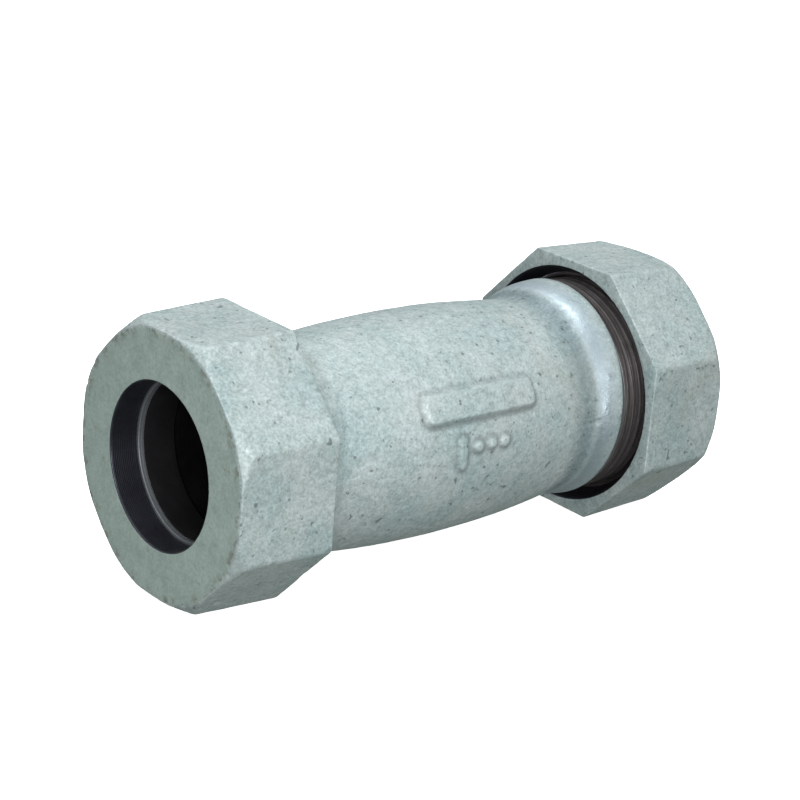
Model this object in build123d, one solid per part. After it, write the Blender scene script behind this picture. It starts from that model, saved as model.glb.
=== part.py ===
from build123d import *
import math
import os

# Compression coupling ("pipe union") for 1-inch steel pipe, made of galvanised malleable iron.
# The pipe axis lies along X and the coupling lies on the flats of its two octagonal nuts.
# The origin is the centre of the whole coupling, on the pipe axis. All sizes are in millimetres.
# Each end, from outside in: nut, retainer ring, gasket and the threaded, coned end of the body.
# Both ends carry the same right-hand thread, so one end is modelled, facing +X from the body's
# middle, and the other is that end turned half a turn about Z. The front end faces -X.

# Thread, 11 1/2 threads to the inch, parallel, shared by the body and the nuts. The body's ridge
# starts inside the collar, THREAD_START_X from the body's middle. Ridges are sunk RIDGE_SINK deep.
PITCH = 25.4 / 11.5
FLANK_ANGLE = 30.0
BODY_CREST_R = 24.1
THREAD_DEPTH = 1.35
THREAD_RADIAL_GAP = 0.35
THREAD_CREST_W = 0.28
THREAD_START_X = 42.3
RIDGE_SINK = 0.3

# Body: a barrel with a neck and a rounded collar before each threaded end. The barrel is cast
# BARREL_DROP below the axis of the turned ends, and the necks lead from the one to the other.
BODY_HALF = 54.6
BARREL_R = 24.95
BARREL_CROWN_R = 243.0
BARREL_DROP = 1.45
BARREL_END_X = 30.3
NECK_END = (38.5, 23.95)
COLLAR_END = (42.7, 24.6)
COLLAR_X = 44.4
END_CHAMFER = 1.1
BODY_BORE_R = 17.7
CORE_R = 20.2
CORE_HALF = 24.0
CORE_TAPER = 6.0

# Gasket seat in each end of the body
SOCKET_DEPTH = 7.7
SEAT_GAP = 0.3

# Blank pad and casting nubs on the near side of the body. Angles go from -Y up towards +Z.
PAD_X = (-12.2, 18.1)
PAD_ANGLES = (20.8, 35.6)
PAD_HEIGHT = 0.8
NUB_HEIGHT = 0.7
BAR_X = -3.5
BAR_ANGLES = (-4.0, 13.0)
BAR_W = 2.2
NUB_R = 1.45
NUB_PLACES = ((0.8, 6.5), (4.5, 6.9), (8.2, 6.5))

# Nut: an octagon that narrows a little from its open rim to its outer face, where a crown turned
# to a sphere takes its corners off. The sphere's centre is NUT_CROWN_DEPTH behind the face.
NUT_LENGTH = 22.85
NUT_FLATS_RIM = 58.6
NUT_FLATS_FACE = 57.0
NUT_CORNER_FILLET = 1.4
NUT_FACE_R = 28.75
NUT_CROWN_DEPTH = 28.1
NUT_WALL = 6.4
NUT_BORE_R = 17.5
NUT_OPENING_R = 27.0
NUT_OPENING_DEPTH = 4.8
NUT_OPENING_STEP = 0.6
NUT_RELIEF = 1.6

# Where the nuts stand at rest, as the distance of the front nut's outer face from the body's
# middle, and the turns by which the rear nut is screwed further off than the front one
FRONT_FACE_X = 63.15
REAR_EXTRA_TURNS = 3.25

# Retainer ring and gasket
RING_GAP = 0.1
RING_T = 1.4
RING_R = 22.6
RING_BORE_R = 16.95
GASKET_LENGTH = 7.5
GASKET_HEEL_R = 20.7
GASKET_HEEL_T = 1.0
GASKET_NOSE_R = 18.6
GASKET_BORE_R = 16.85

# How far cutting and trimming shapes reach past what they cut, the number of sections in a neck,
# and how far before the barrel's ends the shell that the pad and nubs are cut from stops
MARGIN = 1.0
NECK_SECTIONS = 5
RAISED_END_GAP = 4.0

NODE_DIR = "parts"

# Derived sizes
BODY_ROOT_R = BODY_CREST_R - THREAD_DEPTH
NUT_ROOT_R = BODY_CREST_R + THREAD_RADIAL_GAP
NUT_CREST_R = NUT_ROOT_R - THREAD_DEPTH
NUT_RIM_X = FRONT_FACE_X - NUT_LENGTH
NUT_INNER_X = FRONT_FACE_X - NUT_WALL
RING_X = NUT_INNER_X - RING_GAP
GASKET_X = RING_X - RING_T
REAR_SHIFT = REAR_EXTRA_TURNS * PITCH
BODY_CENTRE_X = -REAR_SHIFT / 2
CONE_SLOPE = (GASKET_HEEL_R - GASKET_NOSE_R) / (GASKET_LENGTH - GASKET_HEEL_T)


def turned(points):
    """Solid of revolution about X of a closed outline given as (x, radius) points."""
    outline = Polyline(*[(x, 0, r) for x, r in points], close=True)
    return revolve(make_face(outline), axis=Axis.X)


def tube(x0, x1, outer, inner):
    """Plain ring about X."""
    return turned([(x0, inner), (x1, inner), (x1, outer), (x0, outer)])


def thread_ridge(root_r, crest_r, start_x, turns, crest_w):
    """Helical right-hand ridge about X, whose base is sunk a little way into its wall."""
    base_r = root_r + math.copysign(RIDGE_SINK, root_r - crest_r)
    tan_flank = math.tan(math.radians(FLANK_ANGLE))
    half_crest = crest_w / 2
    half_base = half_crest + abs(base_r - crest_r) * tan_flank
    helix = Helix(PITCH, PITCH * turns, root_r, center=(start_x, 0, 0), direction=(1, 0, 0))
    start = helix @ 0
    radial = Vector(0, start.Y, start.Z).normalized()
    axis = Vector(1, 0, 0)
    corners = [
        axis * start_x + radial * base_r - axis * half_base,
        axis * start_x + radial * crest_r - axis * half_crest,
        axis * start_x + radial * crest_r + axis * half_crest,
        axis * start_x + radial * base_r + axis * half_base,
    ]
    section = make_face(Polyline(*corners, close=True))
    return sweep(section, path=helix, is_frenet=True)


def disc(x, z, radius):
    """Round face square to X with its centre at height z."""
    return Plane(origin=(x, 0, z), z_dir=(1, 0, 0)) * Circle(radius)


def make_barrel():
    """The crowned middle of the body, about its own axis, which lies BARREL_DROP low."""
    end_r = BARREL_R - BARREL_END_X**2 / (2 * BARREL_CROWN_R)
    crown = ThreePointArc((-BARREL_END_X, 0, end_r), (0, 0, BARREL_R), (BARREL_END_X, 0, end_r))
    outline = crown + Polyline(crown @ 0, (-BARREL_END_X, 0, 0), (BARREL_END_X, 0, 0), crown @ 1)
    return Pos(0, 0, -BARREL_DROP) * revolve(make_face(outline), axis=Axis.X)


def make_end():
    """Neck, collar, thread core and thread at the body's +X end."""
    start_r = BARREL_R - BARREL_END_X**2 / (2 * BARREL_CROWN_R)
    slope = -BARREL_END_X / BARREL_CROWN_R
    neck = TangentArc((BARREL_END_X, 0, start_r), (NECK_END[0], 0, NECK_END[1]), tangent=(1, 0, slope))
    sections = []
    for step in range(NECK_SECTIONS):
        share = step / (NECK_SECTIONS - 1)
        point = neck @ share
        rise = share * share * (3 - 2 * share)
        sections.append(disc(point.X, -BARREL_DROP * (1 - rise), point.Z))

    collar = TangentArc(neck @ 1, (COLLAR_END[0], 0, COLLAR_END[1]), tangent=neck % 1)
    rest = Polyline(
        collar @ 1, (COLLAR_X, 0, BODY_ROOT_R), (BODY_HALF, 0, BODY_ROOT_R), (BODY_HALF, 0, 0),
        (NECK_END[0], 0, 0), collar @ 0,
    )
    core = revolve(make_face(collar + rest), axis=Axis.X)

    turns = (BODY_HALF - THREAD_START_X) / PITCH + 0.5
    ridge = thread_ridge(BODY_ROOT_R, BODY_CREST_R, THREAD_START_X, turns, THREAD_CREST_W)
    clear_r = BODY_CREST_R + MARGIN
    trim = turned([
        (NECK_END[0], 0), (BODY_HALF, 0), (BODY_HALF, BODY_CREST_R - END_CHAMFER),
        (BODY_HALF - END_CHAMFER - MARGIN, clear_r), (NECK_END[0], clear_r),
    ])
    return loft(sections) + (core + (ridge & trim))


def make_body():
    """Barrel, collars, threads, gasket seats and the cored bore, centred on X = 0."""
    end = make_end()
    solid = make_barrel() + end + Rot(0, 0, 180) * end
    solid = solid + make_pad() + make_nubs()

    seat_x = BODY_HALF - SOCKET_DEPTH
    lift = SEAT_GAP * math.hypot(1, CONE_SLOPE)
    cone_start_x = GASKET_X - GASKET_HEEL_T
    mouth_r = GASKET_HEEL_R + lift + (BODY_HALF - cone_start_x) * CONE_SLOPE
    seat_r = GASKET_HEEL_R + lift + (seat_x - cone_start_x) * CONE_SLOPE
    half_bore = [
        (CORE_HALF, CORE_R), (CORE_HALF + CORE_TAPER, BODY_BORE_R), (seat_x, BODY_BORE_R),
        (seat_x, seat_r), (BODY_HALF, mouth_r),
    ]
    outline = [(-x, r) for x, r in reversed(half_bore)] + half_bore
    bore = turned([(-BODY_HALF, 0)] + outline + [(BODY_HALF, 0)])
    return solid - bore


def raised_skin(height):
    """Shell that follows the barrel, from a little below its surface to height above it."""
    half = BARREL_END_X - RAISED_END_GAP
    fall = half**2 / (2 * BARREL_CROWN_R)

    def crown(extra):
        radius = BARREL_R + extra
        return ThreePointArc((-half, 0, radius - fall), (0, 0, radius), (half, 0, radius - fall))

    top = crown(height)
    bottom = crown(-MARGIN)
    sides = [Line(top @ 0, bottom @ 0), Line(top @ 1, bottom @ 1)]
    return Pos(0, 0, -BARREL_DROP) * revolve(make_face([top, bottom] + sides), axis=Axis.X)


def raised(outline, x, angle, height):
    """Flat outline, laid on the barrel at x and angle, as a boss that stands out by height."""
    block = Pos(x, 0, 0) * extrude(outline, BARREL_R + height + MARGIN)
    return Pos(0, 0, -BARREL_DROP) * Rot(90 - angle, 0, 0) * block & raised_skin(height)


def make_pad():
    """Blank rectangular pad that stands a little above the barrel."""
    width = math.radians(PAD_ANGLES[1] - PAD_ANGLES[0]) * BARREL_R
    outline = Rectangle(PAD_X[1] - PAD_X[0], width)
    return raised(outline, sum(PAD_X) / 2, sum(PAD_ANGLES) / 2, PAD_HEIGHT)


def make_nubs():
    """A short raised bar and three round nubs below the pad, with no lettering."""
    bar_length = math.radians(BAR_ANGLES[1] - BAR_ANGLES[0]) * BARREL_R
    bar = SlotOverall(bar_length, BAR_W, rotation=90)
    bosses = [raised(bar, BAR_X, sum(BAR_ANGLES) / 2, NUB_HEIGHT)]
    for x, angle in NUB_PLACES:
        bosses.append(raised(Circle(NUB_R), x, angle, NUB_HEIGHT))
    return bosses


def make_nut():
    """Octagonal nut at the +X end, with its thread in mesh and a flat facing down."""
    taper = math.degrees(math.atan((NUT_FLATS_RIM - NUT_FLATS_FACE) / 2 / NUT_LENGTH))
    corner_r = NUT_FLATS_RIM / 2 / math.cos(math.pi / 8)
    octagon = RegularPolygon(corner_r, 8, rotation=22.5)
    octagon = fillet(octagon.vertices(), NUT_CORNER_FILLET)
    blank = extrude(Plane.YZ.offset(NUT_RIM_X) * octagon, NUT_LENGTH, taper=taper)

    crown = Sphere(math.hypot(NUT_FACE_R, NUT_CROWN_DEPTH))
    blank = blank & Pos(FRONT_FACE_X - NUT_CROWN_DEPTH, 0, 0) * crown

    thread_x = NUT_RIM_X + NUT_OPENING_DEPTH
    hollow = turned([
        (NUT_RIM_X, 0), (NUT_RIM_X, NUT_OPENING_R), (thread_x, NUT_ROOT_R + NUT_OPENING_STEP),
        (thread_x, NUT_ROOT_R), (NUT_INNER_X, NUT_ROOT_R), (NUT_INNER_X, 0),
    ])
    blank = blank - hollow - tube_hole(NUT_INNER_X, FRONT_FACE_X, NUT_BORE_R)

    first_x = THREAD_START_X + PITCH / 2
    turns = (NUT_INNER_X - first_x) / PITCH
    ridge = thread_ridge(NUT_ROOT_R, NUT_CREST_R, first_x, turns, THREAD_CREST_W)
    keep = tube(thread_x, NUT_INNER_X - NUT_RELIEF, NUT_ROOT_R + MARGIN, NUT_CREST_R - MARGIN)
    return blank + (ridge & keep)


def tube_hole(x0, x1, radius):
    """Plug that cuts a round hole along X and stands out at both ends of it."""
    return turned([(x0 - MARGIN, 0), (x0 - MARGIN, radius), (x1 + MARGIN, radius), (x1 + MARGIN, 0)])


def make_ring():
    """Flat steel retainer ring between the nut's wall and the gasket."""
    return tube(RING_X - RING_T, RING_X, RING_R, RING_BORE_R)


def make_gasket():
    """Rubber gasket with a heel against the ring and a coned nose that enters the body."""
    nose_x = GASKET_X - GASKET_LENGTH
    return turned([
        (GASKET_X, GASKET_BORE_R), (GASKET_X, GASKET_HEEL_R),
        (GASKET_X - GASKET_HEEL_T, GASKET_HEEL_R), (nose_x, GASKET_NOSE_R),
        (nose_x, GASKET_BORE_R),
    ])


to_frame = Pos(BODY_CENTRE_X, 0, 0)
to_front = to_frame * Rot(0, 0, 180)
screw_off = Pos(REAR_SHIFT, 0, 0) * Rot(360 * REAR_EXTRA_TURNS, 0, 0)

nut = make_nut()
ring = make_ring()
gasket = make_gasket()
shapes = {
    "body": to_frame * make_body(),
    "front_nut": to_front * nut,
    "front_retainer_ring": to_front * ring,
    "front_gasket": to_front * gasket,
    "rear_nut": to_frame * screw_off * nut,
    "rear_retainer_ring": to_frame * Pos(REAR_SHIFT, 0, 0) * ring,
    "rear_gasket": to_frame * Pos(REAR_SHIFT, 0, 0) * gasket,
}

os.makedirs(NODE_DIR, exist_ok=True)
for node, shape in shapes.items():
    export_step(shape, f"{NODE_DIR}/{node}.step")
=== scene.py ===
import math

import bpy
import numpy as np
from mathutils import Matrix, Vector


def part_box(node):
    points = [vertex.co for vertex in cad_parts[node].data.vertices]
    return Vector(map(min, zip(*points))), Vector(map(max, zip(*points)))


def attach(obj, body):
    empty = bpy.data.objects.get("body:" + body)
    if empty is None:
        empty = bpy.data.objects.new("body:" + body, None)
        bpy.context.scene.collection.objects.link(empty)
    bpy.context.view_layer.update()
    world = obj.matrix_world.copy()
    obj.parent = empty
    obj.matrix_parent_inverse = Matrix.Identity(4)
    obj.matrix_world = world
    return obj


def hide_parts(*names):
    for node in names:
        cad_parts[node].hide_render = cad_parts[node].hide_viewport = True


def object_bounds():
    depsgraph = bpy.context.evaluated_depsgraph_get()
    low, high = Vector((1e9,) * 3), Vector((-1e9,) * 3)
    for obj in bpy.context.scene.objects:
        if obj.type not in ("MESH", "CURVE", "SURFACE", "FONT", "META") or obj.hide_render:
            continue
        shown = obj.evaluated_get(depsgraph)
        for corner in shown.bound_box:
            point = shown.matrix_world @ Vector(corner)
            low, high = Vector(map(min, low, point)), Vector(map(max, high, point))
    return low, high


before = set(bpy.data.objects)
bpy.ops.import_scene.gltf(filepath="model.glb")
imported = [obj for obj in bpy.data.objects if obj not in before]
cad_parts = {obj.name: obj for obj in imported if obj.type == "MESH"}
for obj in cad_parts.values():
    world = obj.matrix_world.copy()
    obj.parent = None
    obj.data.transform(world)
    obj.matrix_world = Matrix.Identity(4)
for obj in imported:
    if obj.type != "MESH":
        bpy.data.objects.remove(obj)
cad_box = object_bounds()

MM = 0.001
TAU = 2 * math.pi

# Sizes of the object, in millimetres, measured along X from the middle of the body unless said otherwise
PITCH = 25.4 / 11.5
FLANK = math.tan(math.radians(30))
BODY_CREST_R = 24.1
BODY_ROOT_R = 22.75
NUT_ROOT_R = 24.45
NUT_CREST_R = 23.1
THREAD_CREST_W = 0.28
BARREL_R = 24.95
BARREL_CROWN_R = 243.0
BARREL_DROP = 1.45
BARREL_END_X = 30.3
NECK_END = (38.5, 23.95)
COLLAR_END = (42.7, 24.6)
COLLAR_EDGE_SKEW = 1.3
COLLAR_X = 44.6
THREAD_START_X = 42.3
BODY_BORE_R = 17.7
CORE_R = 20.2
CORE_HALF = 24.0
CORE_TAPER = 6.0
SOCKET_DEPTH = 7.7
SOCKET_MOUTH_R = 21.14
SOCKET_SEAT_R = 18.65
END_CHAMFER = 1.1
NUT_FLATS_RIM = 58.6
NUT_FLATS_FACE = 57.0
NUT_CORNER_FILLET = 1.4
NUT_FACE_R = 28.75
NUT_CROWN_DEPTH = 28.1
NUT_WALL = 6.4
NUT_BORE_R = 17.5
NUT_OPENING_R = 27.0
NUT_OPENING_DEPTH = 4.8
NUT_RELIEF = 1.6

# How finely the skins are divided
BODY_COLUMNS = 272
NUT_COLUMNS = 320
THREAD_STEP = 0.17
CAST_STEP = 0.45


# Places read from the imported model
def node_x(node):
    """Lowest and highest X of a CAD node, in millimetres."""
    low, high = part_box(node)
    return low[0] / MM, high[0] / MM


FRONT_NUT_X = node_x("front_nut")
REAR_NUT_X = node_x("rear_nut")
BODY_X = node_x("body")
BODY_MID = sum(BODY_X) / 2
BODY_HALF = (BODY_X[1] - BODY_X[0]) / 2
NUT_LENGTH = FRONT_NUT_X[1] - FRONT_NUT_X[0]
FLOOR_Z = cad_box[0][2]


# ---------------------------------------------------------------- seeded noise for cast surfaces

def hashed(i, j, k, seed):
    """Pseudo-random values from 0 to 1 on whole-number lattice points."""
    h = (i * 374761393 + j * 668265263 + k * 2147483647 + seed * 1274126177) & 0xFFFFFFFF
    h = ((h ^ (h >> 13)) * 1103515245) & 0xFFFFFFFF
    h = ((h ^ (h >> 16)) * 2654435761) & 0xFFFFFFFF
    return (h ^ (h >> 15)) / 4294967295.0


def value_noise(points, size, seed):
    """Smooth noise from -1 to 1 whose bumps are about size millimetres across."""
    p = points / size
    cell = np.floor(p).astype(np.int64)
    f = p - cell
    f = f * f * f * (f * (f * 6 - 15) + 10)
    total = np.zeros(len(points))
    for a in (0, 1):
        for b in (0, 1):
            for c in (0, 1):
                w = (f[:, 0] if a else 1 - f[:, 0]) * (f[:, 1] if b else 1 - f[:, 1])
                w = w * (f[:, 2] if c else 1 - f[:, 2])
                total += w * hashed(cell[:, 0] + a, cell[:, 1] + b, cell[:, 2] + c, seed)
    return total * 2 - 1


def cast_depth(points, seed):
    """How far a sand-cast, hot-dipped surface lies below its nominal one, in millimetres."""
    broad = value_noise(points, 11.0, seed) * 0.5 + value_noise(points, 4.6, seed + 1) * 0.35
    fine = value_noise(points, 1.9, seed + 2) * 0.6 + value_noise(points, 0.95, seed + 3) * 0.5
    pits = np.clip(value_noise(points, 2.3, seed + 4) - 0.62, 0, 1) / 0.38
    depth = 0.10 + 0.085 * broad + 0.04 * fine + 0.16 * pits
    return np.clip(depth, 0.0, None)


def smoothstep(t):
    t = np.clip(t, 0, 1)
    return t * t * (3 - 2 * t)


# ---------------------------------------------------------------- lathe-like skins that close on themselves

class Skin:
    """A closed surface round X: a loop of rows, each with its x and radius at every angle.

    Angles are counted from -Y up towards +Z, as seen from the -X side turning towards the camera side.
    """

    def __init__(self, angles):
        self.angles = angles
        self.rows = []

    def row(self, x, r, slot, rough, rise=0.0, painted_shade=0.0):
        """Adds one row, whose centre is rise above the axis.

        slot is the material of the strip after it, rough is how much casting noise it takes, and the
        last value is how much painted shade darkens it, from 0 to 1.
        """
        self.rows.append((x, r, slot, rough, rise, painted_shade))

    def build(self, name, materials, middle, turn, seed, to_front):
        """Makes the mesh object at middle on X, turned about Z for the front end."""
        cols = len(self.angles)
        x, r, rough, painted_shade = (
            np.array([np.broadcast_to(row[k], cols) for row in self.rows], dtype=float) for k in (0, 1, 3, 5)
        )
        rows = len(self.rows)
        a = self.angles[None, :] + turn
        rise = np.array([row[4] for row in self.rows])[:, None]
        points = np.stack([x, -r * np.cos(a), r * np.sin(a) + rise], -1).reshape(-1, 3)
        i = np.arange(rows)[:, None]
        j = np.arange(cols)[None, :]
        i1, j1 = (i + 1) % rows, (j + 1) % cols
        quads = np.stack([i * cols + j, i1 * cols + j, i1 * cols + j1, i * cols + j1], -1).reshape(-1, 4)
        slots = np.repeat(np.array([row[2] for row in self.rows]), cols)

        normals = self.normals(points.reshape(rows, cols, 3))
        points = points - normals * (rough.reshape(-1) * cast_depth(points, seed))[:, None]
        if to_front:
            points = points * np.array([-1.0, -1.0, 1.0])
        points[:, 0] += middle

        mesh = bpy.data.meshes.new(name)
        mesh.from_pydata((points * MM).tolist(), [], quads.tolist())
        mesh.polygons.foreach_set("material_index", slots.astype(np.int32))
        mesh.polygons.foreach_set("use_smooth", np.ones(len(quads), dtype=bool))
        for material in materials:
            mesh.materials.append(material)
        # Point values of painted shade, which the zinc material reads to darken the skin.
        shade_paint = mesh.attributes.new("painted_shade", "FLOAT", "POINT")
        shade_paint.data.foreach_set("value", painted_shade.reshape(-1).astype(np.float32))
        mesh.update()
        obj = bpy.data.objects.new(name, mesh)
        bpy.context.scene.collection.objects.link(obj)
        return obj

    @staticmethod
    def normals(grid):
        """Outward unit normals of a grid that closes both ways."""
        du = np.roll(grid, -1, 1) - np.roll(grid, 1, 1)
        dv = np.roll(grid, -1, 0) - np.roll(grid, 1, 0)
        n = np.cross(dv, du).reshape(-1, 3)
        length = np.linalg.norm(n, axis=1)
        length[length < 1e-12] = 1
        return n / length[:, None]


def spaced(a, b, step):
    """Values from a towards b, about step apart, without b itself."""
    n = max(1, int(round(abs(b - a) / step)))
    return a + (b - a) * np.arange(n) / n


def thread_radius(x, angles, first_x, low_r, high_r):
    """Radius at x of a right-hand thread, whose rounded ridge rises from low_r to high_r.

    A nut's ridge rises inwards, so its high_r is the smaller one.
    """
    inward = high_r < low_r
    depth = abs(high_r - low_r)
    helix = (math.pi / 2 - angles) / TAU
    phase = (x - first_x) / PITCH - helix
    away = np.abs(phase - np.round(phase)) * PITCH
    height = np.clip((THREAD_CREST_W / 2 + depth * FLANK - away) / (depth * FLANK), 0, 1)
    height = smoothstep(height) * 0.35 + height * 0.65
    return low_r - depth * height if inward else low_r + depth * height


# ---------------------------------------------------------------- body

PAD_X = (-12.2, 18.1)
PAD_ANGLES = (math.radians(20.8), math.radians(35.6))
PAD_HEIGHT = 0.8
BAR_X = -3.5
BAR_ANGLES = (math.radians(-4.0), math.radians(13.0))
BAR_W = 2.2
NUB_HEIGHT = 0.7
NUB_R = 1.45
NUB_PLACES = ((0.8, 6.5), (4.5, 6.9), (8.2, 6.5))


def body_angles():
    """Angles round the body, closer together where the pad and nubs are."""
    n = BODY_COLUMNS
    fine = np.linspace(-math.pi, math.pi, 4001)
    density = 0.75 + 1.7 * smoothstep((fine + 0.5) / 0.2) * smoothstep((0.9 - fine) / 0.2)
    total = np.concatenate([[0], np.cumsum((density[1:] + density[:-1]) / 2)])
    return np.interp(np.arange(n) / n * total[-1], total, fine)


def arc_from(start, slope_angle, end, x):
    """Radius at x on the arc that leaves start at slope_angle and reaches end, and the angle it ends at."""
    dx, dr = end[0] - start[0], end[1] - start[1]
    chord = math.hypot(dx, dr)
    chord_angle = math.atan2(dr, dx)
    bend = chord_angle - slope_angle
    radius = chord / (2 * math.sin(bend))
    centre = (start[0] - radius * math.sin(slope_angle), start[1] + radius * math.cos(slope_angle))
    under = np.sqrt(np.clip(radius**2 - (x - centre[0]) ** 2, 0, None))
    return centre[1] - math.copysign(1, radius) * under, chord_angle + bend


def casting_radius(x):
    """Outer radius of the body's cast part at distance |x| from its middle."""
    x = np.abs(x)
    barrel = BARREL_R - x**2 / (2 * BARREL_CROWN_R)
    start = (BARREL_END_X, BARREL_R - BARREL_END_X**2 / (2 * BARREL_CROWN_R))
    neck, angle = arc_from(start, -math.atan(BARREL_END_X / BARREL_CROWN_R), NECK_END, x)
    collar, _ = arc_from(NECK_END, angle, COLLAR_END, x)
    return np.where(x < BARREL_END_X, barrel, np.where(x < NECK_END[0], neck, collar))


def casting_rise(x):
    """Height of a section's centre: low along the barrel, on the axis from the collar out."""
    share = (abs(x) - BARREL_END_X) / (NECK_END[0] - BARREL_END_X)
    return -BARREL_DROP * (1 - float(smoothstep(share)))


def soft_box(across, along, half_across, half_along, corner, bevel):
    """1 inside a rounded rectangle and 0 outside it, with a smooth slope bevel wide."""
    qx = np.abs(across) - half_across + corner
    qy = np.abs(along) - half_along + corner
    gap = np.hypot(np.clip(qx, 0, None), np.clip(qy, 0, None)) + np.minimum(np.maximum(qx, qy), 0) - corner
    return smoothstep(0.5 - gap / bevel), gap


def raised_marks(x, angles):
    """Height of the pad, bar and nubs above the barrel, in millimetres, and the painted shade round them."""
    def arc(angle):
        return (angles - angle) * BARREL_R

    pad_mid = sum(PAD_ANGLES) / 2
    half_width = (PAD_ANGLES[1] - PAD_ANGLES[0]) / 2 * BARREL_R
    half_length = (PAD_X[1] - PAD_X[0]) / 2
    pad, gap = soft_box(arc(pad_mid), x - sum(PAD_X) / 2, half_width, half_length, 1.6, 1.2)
    moat = np.exp(-((gap - 0.7) / 0.6) ** 2)
    height = PAD_HEIGHT * pad - 0.25 * moat
    # Painted shade: the pad's moat is darkened, most along its lower side and left end, where shadow falls.
    left_end = smoothstep((x + 5 - PAD_X[0]) / -5 + 1)
    lower_side = smoothstep((pad_mid - angles) / 0.06)
    painted_shade = moat * (0.45 + 0.55 * np.maximum(left_end, lower_side))
    bar_half = (BAR_ANGLES[1] - BAR_ANGLES[0]) / 2 * BARREL_R
    bar, gap = soft_box(arc(sum(BAR_ANGLES) / 2), x - BAR_X, bar_half, BAR_W / 2, BAR_W / 2, 0.9)
    height = height + NUB_HEIGHT * bar
    # Painted shade also darkens the crease at the foot of the bar and of each nub.
    painted_shade = np.maximum(painted_shade, 0.8 * np.exp(-((gap - 0.5) / 0.5) ** 2))
    for nub_x, nub_angle in NUB_PLACES:
        away = np.hypot(arc(math.radians(nub_angle)), x - nub_x)
        height = height + NUB_HEIGHT * smoothstep((NUB_R + 0.4 - away) / 1.1)
        painted_shade = np.maximum(painted_shade, 0.8 * np.exp(-((away - NUB_R - 0.3) / 0.5) ** 2))
    return height, painted_shade


def make_body(materials):
    """The body's skin: out along its cast outside and threads, back through its bore."""
    cast, thread, bored, shoulder = 0, 1, 2, 3
    angles = body_angles()
    skin = Skin(angles)
    end = BODY_HALF

    def skewed(x):
        """Row places near the collar's edge, which lies further out at the top than at the bottom."""
        out = abs(x)
        share = smoothstep((out - NECK_END[0]) / 4) * smoothstep((COLLAR_X - out) / 1.5)
        return math.copysign(1, x) * (out + COLLAR_EDGE_SKEW * np.sin(angles) * share)

    def threaded(distances, side):
        mirrored = angles if side > 0 else math.pi - angles
        for out in distances:
            r = thread_radius(out, mirrored, THREAD_START_X, BODY_ROOT_R, BODY_CREST_R)
            r = np.minimum(r, BODY_CREST_R - END_CHAMFER + end - out)
            run_in = smoothstep((out - COLLAR_X + 0.1) / 0.5)
            skin.row(side * out, r * run_in + (1 - run_in) * (BODY_CREST_R - 0.1), thread, 0)

    edge_x = COLLAR_END[0] + 0.3
    step_rows = (
        (edge_x, 24.6), (edge_x + 0.12, 24.5), (edge_x + 0.25, 24.25), (edge_x + 0.6, 24.15),
        (COLLAR_X - 0.3, 24.0),
    )
    threaded(spaced(end, COLLAR_X, THREAD_STEP), -1)
    for x, r in reversed(step_rows):
        skin.row(skewed(-x), r, cast if x == edge_x else shoulder, 0.15)
    for x in spaced(-COLLAR_END[0] + 0.1, COLLAR_END[0] - 0.1, CAST_STEP):
        # The raised marks bring painted shade round their edges, kept per point on the skin.
        marks, painted_shade = raised_marks(x, angles)
        skin.row(skewed(x), casting_radius(x) + marks, cast, 1, casting_rise(x), painted_shade)
    for x, r in step_rows:
        skin.row(skewed(x), r, shoulder, 0.15)
    threaded(spaced(COLLAR_X, end, THREAD_STEP), 1)
    skin.row(end, BODY_CREST_R - END_CHAMFER, thread, 0)

    seat_x = end - SOCKET_DEPTH
    bore = [
        (end, SOCKET_MOUTH_R + 0.15), (end - 0.2, SOCKET_MOUTH_R), (seat_x + 0.1, SOCKET_SEAT_R),
        (seat_x, SOCKET_SEAT_R - 0.1), (seat_x, BODY_BORE_R + 0.1), (seat_x - 0.1, BODY_BORE_R),
        (CORE_HALF + CORE_TAPER, BODY_BORE_R), (CORE_HALF, CORE_R),
    ]
    for x, r in bore:
        skin.row(x, r, bored, 0)
    for x in spaced(CORE_HALF - 1, -CORE_HALF, 2.4):
        skin.row(x, CORE_R, cast, 0.6)
    for x, r in reversed(bore):
        skin.row(-x, r, bored, 0)
    return skin.build("body_casting", materials, BODY_MID, 0.0, 11, False)


# ---------------------------------------------------------------- nuts

def octagon_radius(apothem, angles, fillet):
    """Radius of an octagon with filleted corners. A flat's middle is at angle 0."""
    eighth = TAU / 8
    off = np.abs((angles + eighth / 2) % eighth - eighth / 2)
    half = eighth / 2
    straight = apothem / np.cos(off)
    centre = (apothem - fillet) / math.cos(half)
    bend = half - off
    inside = np.clip(fillet**2 - (centre * np.sin(bend)) ** 2, 0, None)
    rounded = centre * np.cos(bend) + np.sqrt(inside)
    start = math.atan((apothem - fillet) * math.tan(half) / apothem)
    return np.where(off < start, straight, rounded)


def soft_min(a, b, k):
    """Smaller of a and b, with the edge between them rounded over about k."""
    h = np.clip(0.5 + 0.5 * (b - a) / k, 0, 1)
    return b + (a - b) * h - k * h * (1 - h)


def nut_side(depth, angles):
    """Outer radius of a nut at depth from its outer face: drafted octagon under a spherical crown."""
    share = depth / NUT_LENGTH
    apothem = (NUT_FLATS_FACE + (NUT_FLATS_RIM - NUT_FLATS_FACE) * share) / 2
    octagon = octagon_radius(apothem, angles, NUT_CORNER_FILLET)
    crown = math.sqrt(NUT_FACE_R**2 + NUT_CROWN_DEPTH**2 - (NUT_CROWN_DEPTH - depth) ** 2)
    return soft_min(octagon, crown, 0.6)


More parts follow.
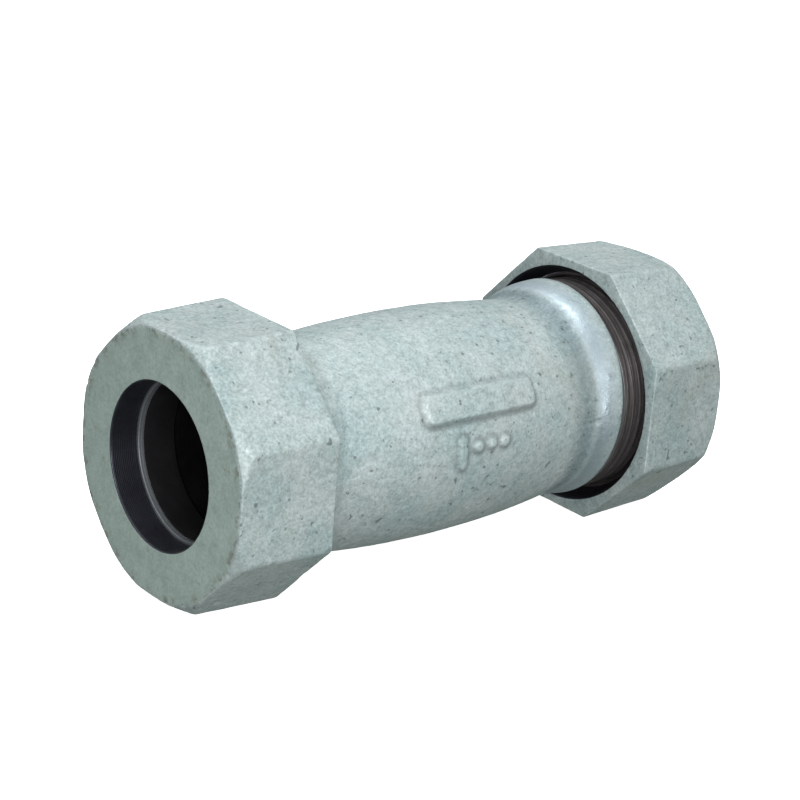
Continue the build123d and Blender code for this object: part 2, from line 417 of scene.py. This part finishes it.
def make_nut(name, materials, outer_x, turns_off, to_front, seed):
    """One nut, built with its outer face at X = 0 and facing +X."""
    cast, thread, bored, faced = 0, 1, 2, 3
    angles = np.arange(NUT_COLUMNS) / NUT_COLUMNS * TAU
    skin = Skin(angles)
    edge, rim_edge, bore_edge = 0.25, 0.4, 0.3
    opening_x = -NUT_LENGTH + NUT_OPENING_DEPTH
    wall_x = -NUT_WALL

    rim_r = nut_side(NUT_LENGTH, angles)
    rim_inner_r = NUT_OPENING_R + 0.25
    for share in spaced(0, 1, 0.2):
        skin.row(-NUT_LENGTH, rim_inner_r + (rim_r - rim_edge - rim_inner_r) * share, cast, 0.8)
    for t in np.linspace(0, math.pi / 2, 5):
        x = -NUT_LENGTH + rim_edge * (1 - math.cos(t))
        skin.row(x, nut_side(-x, angles) - rim_edge * (1 - math.sin(t)), cast, 1)
    for x in spaced(-NUT_LENGTH + rim_edge + 0.4, -edge, 0.42):
        skin.row(x, nut_side(-x, angles), cast, 1)
    for t in np.linspace(0, math.pi / 2, 6):
        x = -edge * (1 - math.sin(t))
        skin.row(x, nut_side(-x, angles) - edge * (1 - math.cos(t)), cast, 1)
    face_r = nut_side(0.0, angles) - edge
    for share in spaced(0.02, 1, 0.045):
        face_rough = 0.3 * smoothstep((1 - share) * 8)
        skin.row(0.0, face_r + (NUT_BORE_R + bore_edge - face_r) * share, faced, face_rough)
    for t in np.linspace(0, math.pi / 2, 4):
        skin.row(-bore_edge * (1 - math.cos(t)), NUT_BORE_R + bore_edge * (1 - math.sin(t)), bored, 0)
    for x in spaced(-bore_edge - 0.3, wall_x, 0.6):
        skin.row(x, NUT_BORE_R, bored, 0)
    for r in (NUT_BORE_R, NUT_BORE_R + 0.2, 20.5, NUT_ROOT_R):
        skin.row(wall_x, r, bored, 0)
    skin.row(wall_x - NUT_RELIEF + 0.2, NUT_ROOT_R, thread, 0)
    for x in spaced(wall_x - NUT_RELIEF, opening_x, 0.18):
        from_middle = x + FRONT_FACE_FROM_BODY
        r = thread_radius(from_middle, angles, THREAD_START_X + PITCH / 2, NUT_ROOT_R, NUT_CREST_R)
        fade = smoothstep((wall_x - NUT_RELIEF - x) / 0.3) * smoothstep((x - opening_x) / 0.9)
        skin.row(x, NUT_ROOT_R + (r - NUT_ROOT_R) * fade, thread, 0)
    skin.row(opening_x, NUT_ROOT_R, thread, 0)
    skin.row(opening_x, NUT_ROOT_R + 0.6, bored, 0)
    for share in spaced(0, 1, 0.2):
        skin.row(opening_x + (-NUT_LENGTH - opening_x + 0.2) * share,
                 NUT_ROOT_R + 0.6 + (NUT_OPENING_R - NUT_ROOT_R - 0.6) * share, bored, 0)
    skin.row(-NUT_LENGTH + 0.15, NUT_OPENING_R + 0.05, bored, 0)
    return skin.build(name, materials, outer_x, -TAU * turns_off, seed, to_front)


FRONT_FACE_FROM_BODY = BODY_MID - FRONT_NUT_X[0]
REAR_TURNS_OFF = (REAR_NUT_X[1] - BODY_MID - FRONT_FACE_FROM_BODY) / PITCH


# ---------------------------------------------------------------- ring and gasket

RING_T = 1.4
RING_R = 22.6
RING_BORE_R = 16.95
GASKET_LENGTH = 7.5
GASKET_HEEL_R = 20.7
GASKET_HEEL_T = 1.0
GASKET_NOSE_R = 18.6
GASKET_BORE_R = 16.85
RING_OUTLINE = ((-RING_T, RING_BORE_R), (-RING_T, RING_R), (0, RING_R), (0, RING_BORE_R))
GASKET_OUTLINE = (
    (-GASKET_LENGTH, GASKET_BORE_R), (-GASKET_LENGTH, GASKET_NOSE_R), (-GASKET_HEEL_T, GASKET_HEEL_R),
    (0, GASKET_HEEL_R), (0, GASKET_BORE_R),
)


def simple_skin(name, outline, material, middle, to_front, columns=160):
    """A turned piece from a short closed outline of (x, radius) points, each corner slightly rounded."""
    angles = np.arange(columns) / columns * TAU
    skin = Skin(angles)
    count = len(outline)
    soften = 0.12
    for k in range(count):
        before, here, after = (np.array(outline[(k + d) % count]) for d in (-1, 0, 1))
        into = (before - here) / np.linalg.norm(before - here)
        out = (after - here) / np.linalg.norm(after - here)
        for t in (0.0, 0.5, 1.0):
            corner = here + into * soften * (1 - t) ** 2 + out * soften * t**2
            skin.row(corner[0], corner[1], 0, 0)
        for share in (0.2, 0.4, 0.6, 0.8):
            point = here + (after - here) * share
            skin.row(point[0], point[1], 0, 0)
    return skin.build(name, [material], middle, 0.0, 5, to_front)


# ---------------------------------------------------------------- materials

def node_material(name):
    material = bpy.data.materials.new(name)
    material.use_nodes = True
    tree = material.node_tree
    shader = tree.nodes["Principled BSDF"]
    return material, tree, shader


def add(tree, kind, **values):
    node = tree.nodes.new(kind)
    for key, value in values.items():
        setattr(node, key, value)
    return node


def noise_field(tree, coords, scale, detail=4.0, rough=0.6, distortion=0.0):
    node = add(tree, "ShaderNodeTexNoise")
    node.inputs["Scale"].default_value = scale
    node.inputs["Detail"].default_value = detail
    node.inputs["Roughness"].default_value = rough
    node.inputs["Distortion"].default_value = distortion
    tree.links.new(coords, node.inputs["Vector"])
    return node.outputs["Fac"]


def ramp(tree, value, stops):
    node = add(tree, "ShaderNodeValToRGB")
    while len(node.color_ramp.elements) < len(stops):
        node.color_ramp.elements.new(0.5)
    for element, (place, colour) in zip(node.color_ramp.elements, stops):
        element.position = place
        element.color = (*colour, 1)
    tree.links.new(value, node.inputs["Fac"])
    return node.outputs["Color"]


def grey(v):
    return (v, v, v)


def mix(tree, factor, a, b, mode="MIX"):
    node = add(tree, "ShaderNodeMix", data_type="RGBA", blend_type=mode)
    for socket, value in ((node.inputs["Factor"], factor), (node.inputs[6], a), (node.inputs[7], b)):
        if isinstance(value, (int, float)):
            socket.default_value = value
        elif isinstance(value, tuple):
            socket.default_value = (*value, 1)
        else:
            tree.links.new(value, socket)
    return node.outputs[2]


def bump(tree, height, strength, distance, normal=None):
    node = add(tree, "ShaderNodeBump")
    node.inputs["Strength"].default_value = strength
    node.inputs["Distance"].default_value = distance
    tree.links.new(height, node.inputs["Height"])
    if normal is not None:
        tree.links.new(normal, node.inputs["Normal"])
    return node.outputs["Normal"]


def separate(tree, vector):
    """X, Y and Z outputs of a vector."""
    node = add(tree, "ShaderNodeSeparateXYZ")
    tree.links.new(vector, node.inputs["Vector"])
    return node.outputs


def maths(tree, operation, *values):
    node = add(tree, "ShaderNodeMath", operation=operation)
    for socket, value in zip(node.inputs, values):
        if isinstance(value, (int, float)):
            socket.default_value = value
        else:
            tree.links.new(value, socket)
    return node.outputs["Value"]


def galvanised(name, light, dark, warm, collared=False):
    """Hot-dip zinc on a sand casting: dull and grainy, with dark pits and faint stains.

    On the body, painted shade darkens the rear neck, and round each collar the zinc is smoother,
    with a painted highlight that lightens and blues its colour.
    """
    material, tree, shader = node_material(name)
    coords = add(tree, "ShaderNodeTexCoord").outputs["Object"]
    clouds = noise_field(tree, coords, 80, 3, 0.6)
    mottle = noise_field(tree, coords, 620, 4, 0.7)
    grain = noise_field(tree, coords, 1700, 3, 0.65)
    patches = noise_field(tree, coords, 45, 4, 0.55)
    specks = noise_field(tree, coords, 640, 1, 0.5)
    base = ramp(tree, mottle, [(0.3, dark), (0.7, light)])
    tint = ramp(tree, clouds, [(0.32, (0.27, 0.34, 0.36)), (0.5, grey(0.5)), (0.68, (0.71, 0.66, 0.665))])
    base = mix(tree, 0.5, base, tint, "SOFT_LIGHT")
    base = mix(tree, 0.65, base, ramp(tree, grain, [(0.28, grey(0.2)), (0.72, grey(0.8))]), "SOFT_LIGHT")
    stain = ramp(tree, patches, [(0.56, grey(0)), (0.7, grey(0.3))])
    base = mix(tree, stain, base, warm)
    pit = ramp(tree, specks, [(0.25, grey(0.7)), (0.31, grey(0))])
    base = mix(tree, pit, base, (0.09, 0.1, 0.1))
    rough = ramp(tree, mottle, [(0.3, grey(0.66)), (0.7, grey(0.5))])
    # Painted shade from the skin's point values darkens the zinc round the pad, bar and nubs.
    shade_paint = add(tree, "ShaderNodeAttribute", attribute_name="painted_shade").outputs["Fac"]
    base = mix(tree, maths(tree, "MULTIPLY", shade_paint, 0.6), base, (0.1, 0.115, 0.115))
    if collared:
        from_middle = maths(tree, "SUBTRACT", separate(tree, coords)["X"], BODY_MID * MM)
        along = maths(tree, "MULTIPLY", from_middle, 1 / (BODY_HALF * MM))
        out = maths(tree, "ABSOLUTE", along)
        # Painted shade: a darker, blue-grey band across the concave rear neck.
        painted_shade = ramp(tree, along, [
            (29.5 / BODY_HALF, grey(1)), (34 / BODY_HALF, (0.5, 0.55, 0.58)),
            (35.6 / BODY_HALF, (0.54, 0.59, 0.62)), (37.7 / BODY_HALF, grey(1)),
        ])
        base = mix(tree, 1, base, painted_shade, "MULTIPLY")
        # Round each collar the zinc is smoother and more metallic, and its colour is lightened and blued as a
        # painted highlight.
        polish_and_highlight = ramp(tree, out, [
            (36.3 / BODY_HALF, grey(0)), (38 / BODY_HALF, grey(0.7)),
            (39.6 / BODY_HALF, grey(0.6)), (42.5 / BODY_HALF, grey(0.1)),
        ])
        base = mix(tree, polish_and_highlight, base, (0.40, 0.48, 0.54))
        rough = mix(tree, polish_and_highlight, rough, ramp(tree, mottle, [(0.35, grey(0.4)), (0.62, grey(0.18))]))
        metal = mix(tree, polish_and_highlight, grey(0.3), grey(0.95))
        tree.links.new(metal, shader.inputs["Metallic"])
    else:
        shader.inputs["Metallic"].default_value = 0.3
    tree.links.new(base, shader.inputs["Base Color"])
    tree.links.new(rough, shader.inputs["Roughness"])
    normal = bump(tree, mottle, 0.6, 0.0002)
    normal = bump(tree, grain, 0.5, 0.0001, normal)
    tree.links.new(normal, shader.inputs["Normal"])
    return material


def faced(name):
    """Zinc on a turned face: smoother and darker than the cast skin, with rust and nicks along its edge."""
    material, tree, shader = node_material(name)
    coords = add(tree, "ShaderNodeTexCoord").outputs["Object"]
    mottle = noise_field(tree, coords, 260, 5, 0.6)
    grain = noise_field(tree, coords, 1700, 2, 0.5)
    rust = noise_field(tree, coords, 330, 3, 0.6)
    nicks = noise_field(tree, coords, 520, 2, 0.6)
    across = separate(tree, coords)
    radius = maths(tree, "SQRT", maths(tree, "ADD", maths(tree, "MULTIPLY", across["Y"], across["Y"]),
                                       maths(tree, "MULTIPLY", across["Z"], across["Z"])))
    out = maths(tree, "DIVIDE", radius, NUT_FACE_R * MM)
    edge = ramp(tree, out, [(0.9, grey(0)), (0.985, grey(1))])
    base = ramp(tree, mottle, [(0.3, (0.26, 0.325, 0.3)), (0.7, (0.34, 0.415, 0.385))])
    base = mix(tree, 0.45, base, ramp(tree, grain, [(0.3, grey(0.3)), (0.7, grey(0.7))]), "SOFT_LIGHT")
    freckle = ramp(tree, rust, [(0.62, grey(0)), (0.72, grey(0.45))])
    base = mix(tree, freckle, base, (0.19, 0.17, 0.135))
    worn = maths(tree, "MULTIPLY", edge, ramp(tree, nicks, [(0.5, grey(0)), (0.62, grey(0.75))]))
    base = mix(tree, worn, base, (0.12, 0.105, 0.09))
    tree.links.new(base, shader.inputs["Base Color"])
    tree.links.new(ramp(tree, mottle, [(0.3, grey(0.66)), (0.7, grey(0.56))]), shader.inputs["Roughness"])
    shader.inputs["Metallic"].default_value = 0.25
    tree.links.new(bump(tree, grain, 0.35, 0.00006), shader.inputs["Normal"])
    return material


def machined(name, colour, dark, roughness, ring_scale, metallic=0.85):
    """Turned steel with fine tool marks round X and an oily, uneven sheen."""
    material, tree, shader = node_material(name)
    coords = add(tree, "ShaderNodeTexCoord").outputs["Object"]
    marks = add(tree, "ShaderNodeTexWave", wave_type="BANDS", bands_direction="X")
    marks.inputs["Scale"].default_value = ring_scale
    marks.inputs["Distortion"].default_value = 1.5
    marks.inputs["Detail"].default_value = 3
    tree.links.new(coords, marks.inputs["Vector"])
    blotch = noise_field(tree, coords, 160, 4, 0.6)
    base = ramp(tree, blotch, [(0.3, dark), (0.7, colour)])
    stripes = ramp(tree, marks.outputs["Fac"], [(0.2, grey(0.3)), (0.8, grey(0.7))])
    base = mix(tree, 0.35, base, stripes, "SOFT_LIGHT")
    tree.links.new(base, shader.inputs["Base Color"])
    rough = ramp(tree, blotch, [(0.3, grey(roughness + 0.1)), (0.7, grey(roughness - 0.06))])
    tree.links.new(rough, shader.inputs["Roughness"])
    shader.inputs["Metallic"].default_value = metallic
    tree.links.new(bump(tree, marks.outputs["Fac"], 0.35, 0.00008), shader.inputs["Normal"])
    return material


def rubber(name):
    """Moulded black rubber with a dusty bloom."""
    material, tree, shader = node_material(name)
    coords = add(tree, "ShaderNodeTexCoord").outputs["Object"]
    bloom = noise_field(tree, coords, 220, 4, 0.6)
    base = ramp(tree, bloom, [(0.3, (0.004, 0.004, 0.0045)), (0.75, (0.009, 0.009, 0.01))])
    tree.links.new(base, shader.inputs["Base Color"])
    tree.links.new(ramp(tree, bloom, [(0.3, grey(0.8)), (0.7, grey(0.92))]), shader.inputs["Roughness"])
    shader.inputs["Specular IOR Level"].default_value = 0.15
    tree.links.new(bump(tree, noise_field(tree, coords, 1200, 2), 0.25, 0.00005), shader.inputs["Normal"])
    return material


# ---------------------------------------------------------------- camera, light and floor

# Azimuth, elevation and roll in degrees, then lens and distances in millimetres
CAMERA_ANGLES = (-40.918, 19.663, 4.75)
CAMERA_LENS = 103.69
CAMERA_DISTANCE = 500.4
CAMERA_ABOVE = 3.501
CAMERA_ASIDE = 0.2007
FLOOR_HALF = 4.0
FLOOR_GAP = 0.0002
FLOOR_GLOW = 0.9
WORLD_STRENGTH = 0.83


def make_camera():
    """A long lens near and left of the front nut, slightly above it."""
    azimuth, elevation, roll = (math.radians(v) for v in CAMERA_ANGLES)
    level = math.cos(elevation)
    back = Vector((math.sin(azimuth) * level, -math.cos(azimuth) * level, math.sin(elevation)))
    right = (-back).cross(Vector((0, 0, 1))).normalized()
    up = right.cross(-back)
    cr, sr = math.cos(roll), math.sin(roll)
    right, up = cr * right + sr * up, -sr * right + cr * up
    aim = Vector((BODY_MID * MM, 0, 0))
    place = aim + (back * CAMERA_DISTANCE + up * CAMERA_ABOVE - right * CAMERA_ASIDE) * MM
    data = bpy.data.cameras.new("camera")
    data.sensor_width = 36
    data.lens = CAMERA_LENS
    data.clip_start = 0.01
    camera = bpy.data.objects.new("camera", data)
    camera.matrix_world = Matrix((
        (right.x, up.x, back.x, place.x), (right.y, up.y, back.y, place.y),
        (right.z, up.z, back.z, place.z), (0, 0, 0, 1),
    ))
    bpy.context.scene.collection.objects.link(camera)
    bpy.context.scene.camera = camera


def make_light(name, place, size, power, aim=(0, 0, 0)):
    data = bpy.data.lights.new(name, "AREA")
    data.shape = "RECTANGLE"
    data.size, data.size_y = size
    data.energy = power
    light = bpy.data.objects.new(name, data)
    light.location = place
    light.rotation_euler = (Vector(aim) - Vector(place)).to_track_quat("-Z", "Y").to_euler()
    light.visible_camera = False
    bpy.context.scene.collection.objects.link(light)


def make_floor():
    """A white light table: it glows, so shadows on it are faint, and it doesn't light the object."""
    mesh = bpy.data.meshes.new("floor")
    half = FLOOR_HALF
    z = FLOOR_Z - FLOOR_GAP
    corners = [(-half, -half, z), (half, -half, z), (half, half, z), (-half, half, z)]
    mesh.from_pydata(corners, [], [(0, 1, 2, 3)])
    material, tree, shader = node_material("floor_paper")
    shader.inputs["Base Color"].default_value = (0.8, 0.8, 0.8, 1)
    shader.inputs["Roughness"].default_value = 0.9
    shader.inputs["Emission Color"].default_value = (1, 1, 1, 1)
    shader.inputs["Emission Strength"].default_value = FLOOR_GLOW
    mesh.materials.append(material)
    floor = bpy.data.objects.new("floor", mesh)
    floor.visible_diffuse = False
    floor.visible_glossy = False
    bpy.context.scene.collection.objects.link(floor)


def make_world():
    """A studio tent: white overhead and at the sides, dark below."""
    world = bpy.data.worlds.new("studio")
    world.use_nodes = True
    tree = world.node_tree
    direction = add(tree, "ShaderNodeTexCoord").outputs["Generated"]
    height = add(tree, "ShaderNodeMapRange")
    height.inputs["From Min"].default_value = -1
    height.inputs["From Max"].default_value = 1
    tree.links.new(separate(tree, direction)["Z"], height.inputs["Value"])
    tent = ramp(tree, height.outputs["Result"], [
        (0.3, (0.21, 0.235, 0.215)), (0.5, (0.38, 0.41, 0.39)), (0.8, (0.96, 0.99, 1.01)),
    ])
    tree.links.new(tent, tree.nodes["Background"].inputs["Color"])
    tree.nodes["Background"].inputs["Strength"].default_value = WORLD_STRENGTH
    bpy.context.scene.world = world
    bpy.context.scene.view_settings.view_transform = "Standard"


# ---------------------------------------------------------------- assembly

make_camera()
make_floor()
make_world()
make_light("softbox_front", (-0.30, -0.40, 0.14), (0.25, 0.25), 2.05)
make_light("softbox_low", (-0.06, -0.40, -0.01), (0.3, 0.1), 0.45)
make_light("softbox_top", (-0.1, 0.2, 1.2), (1.0, 1.0), 9.5)
make_light("softbox_side", (0.17, -0.46, 0.21), (0.12, 0.12), 0.2)

turned_zinc = machined("turned_shoulder", (0.33, 0.34, 0.34), (0.2, 0.2, 0.2), 0.42, 900)
faced_zinc = faced("faced_zinc")
# Painted shade: the body's bore and sockets are coloured near black, as if in shadow.
shadow_black_bore = machined("cored_bore_shadow_black", (0.006, 0.006, 0.007), (0.003, 0.003, 0.0035), 0.85, 300)
zinc_body = galvanised("galvanised_body", (0.40, 0.47, 0.475), (0.265, 0.318, 0.312), (0.30, 0.30, 0.25), True)
zinc_nut = galvanised("galvanised_nut", (0.38, 0.445, 0.447), (0.253, 0.304, 0.297), (0.30, 0.29, 0.24))
thread_steel = machined("cut_thread", (0.088, 0.078, 0.078), (0.04, 0.036, 0.037), 0.5, 900, 0.6)
bore_steel = machined("turned_bore", (0.085, 0.088, 0.11), (0.035, 0.036, 0.046), 0.36, 700)
ring_steel = machined("plated_ring", (0.27, 0.29, 0.31), (0.17, 0.18, 0.19), 0.5, 500, 0.7)
black_rubber = rubber("gasket_rubber")

body = make_body([zinc_body, thread_steel, shadow_black_bore, turned_zinc])
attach(body, "root")
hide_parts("body")

ends = (
    ("front", FRONT_NUT_X[0], 0.0, True, 23),
    ("rear", REAR_NUT_X[1], REAR_TURNS_OFF, False, 31),
)
for end, outer_x, turns_off, to_front, seed in ends:
    materials = [zinc_nut, thread_steel, bore_steel, faced_zinc]
    nut = make_nut(f"{end}_nut_casting", materials, outer_x, turns_off, to_front, seed)
    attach(nut, f"{end}_nut")
    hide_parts(f"{end}_nut")
    for kind, outline, material, slot in (
        ("retainer_ring", RING_OUTLINE, ring_steel, "plated_ring"),
        ("gasket", GASKET_OUTLINE, black_rubber, "gasket_rubber"),
    ):
        outer_face_x = node_x(f"{end}_{kind}")[0 if to_front else 1]
        piece = simple_skin(f"{end}_{kind}_turned", outline, material, outer_face_x, to_front)
        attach(piece, f"{end}_seal")
        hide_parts(f"{end}_{kind}")
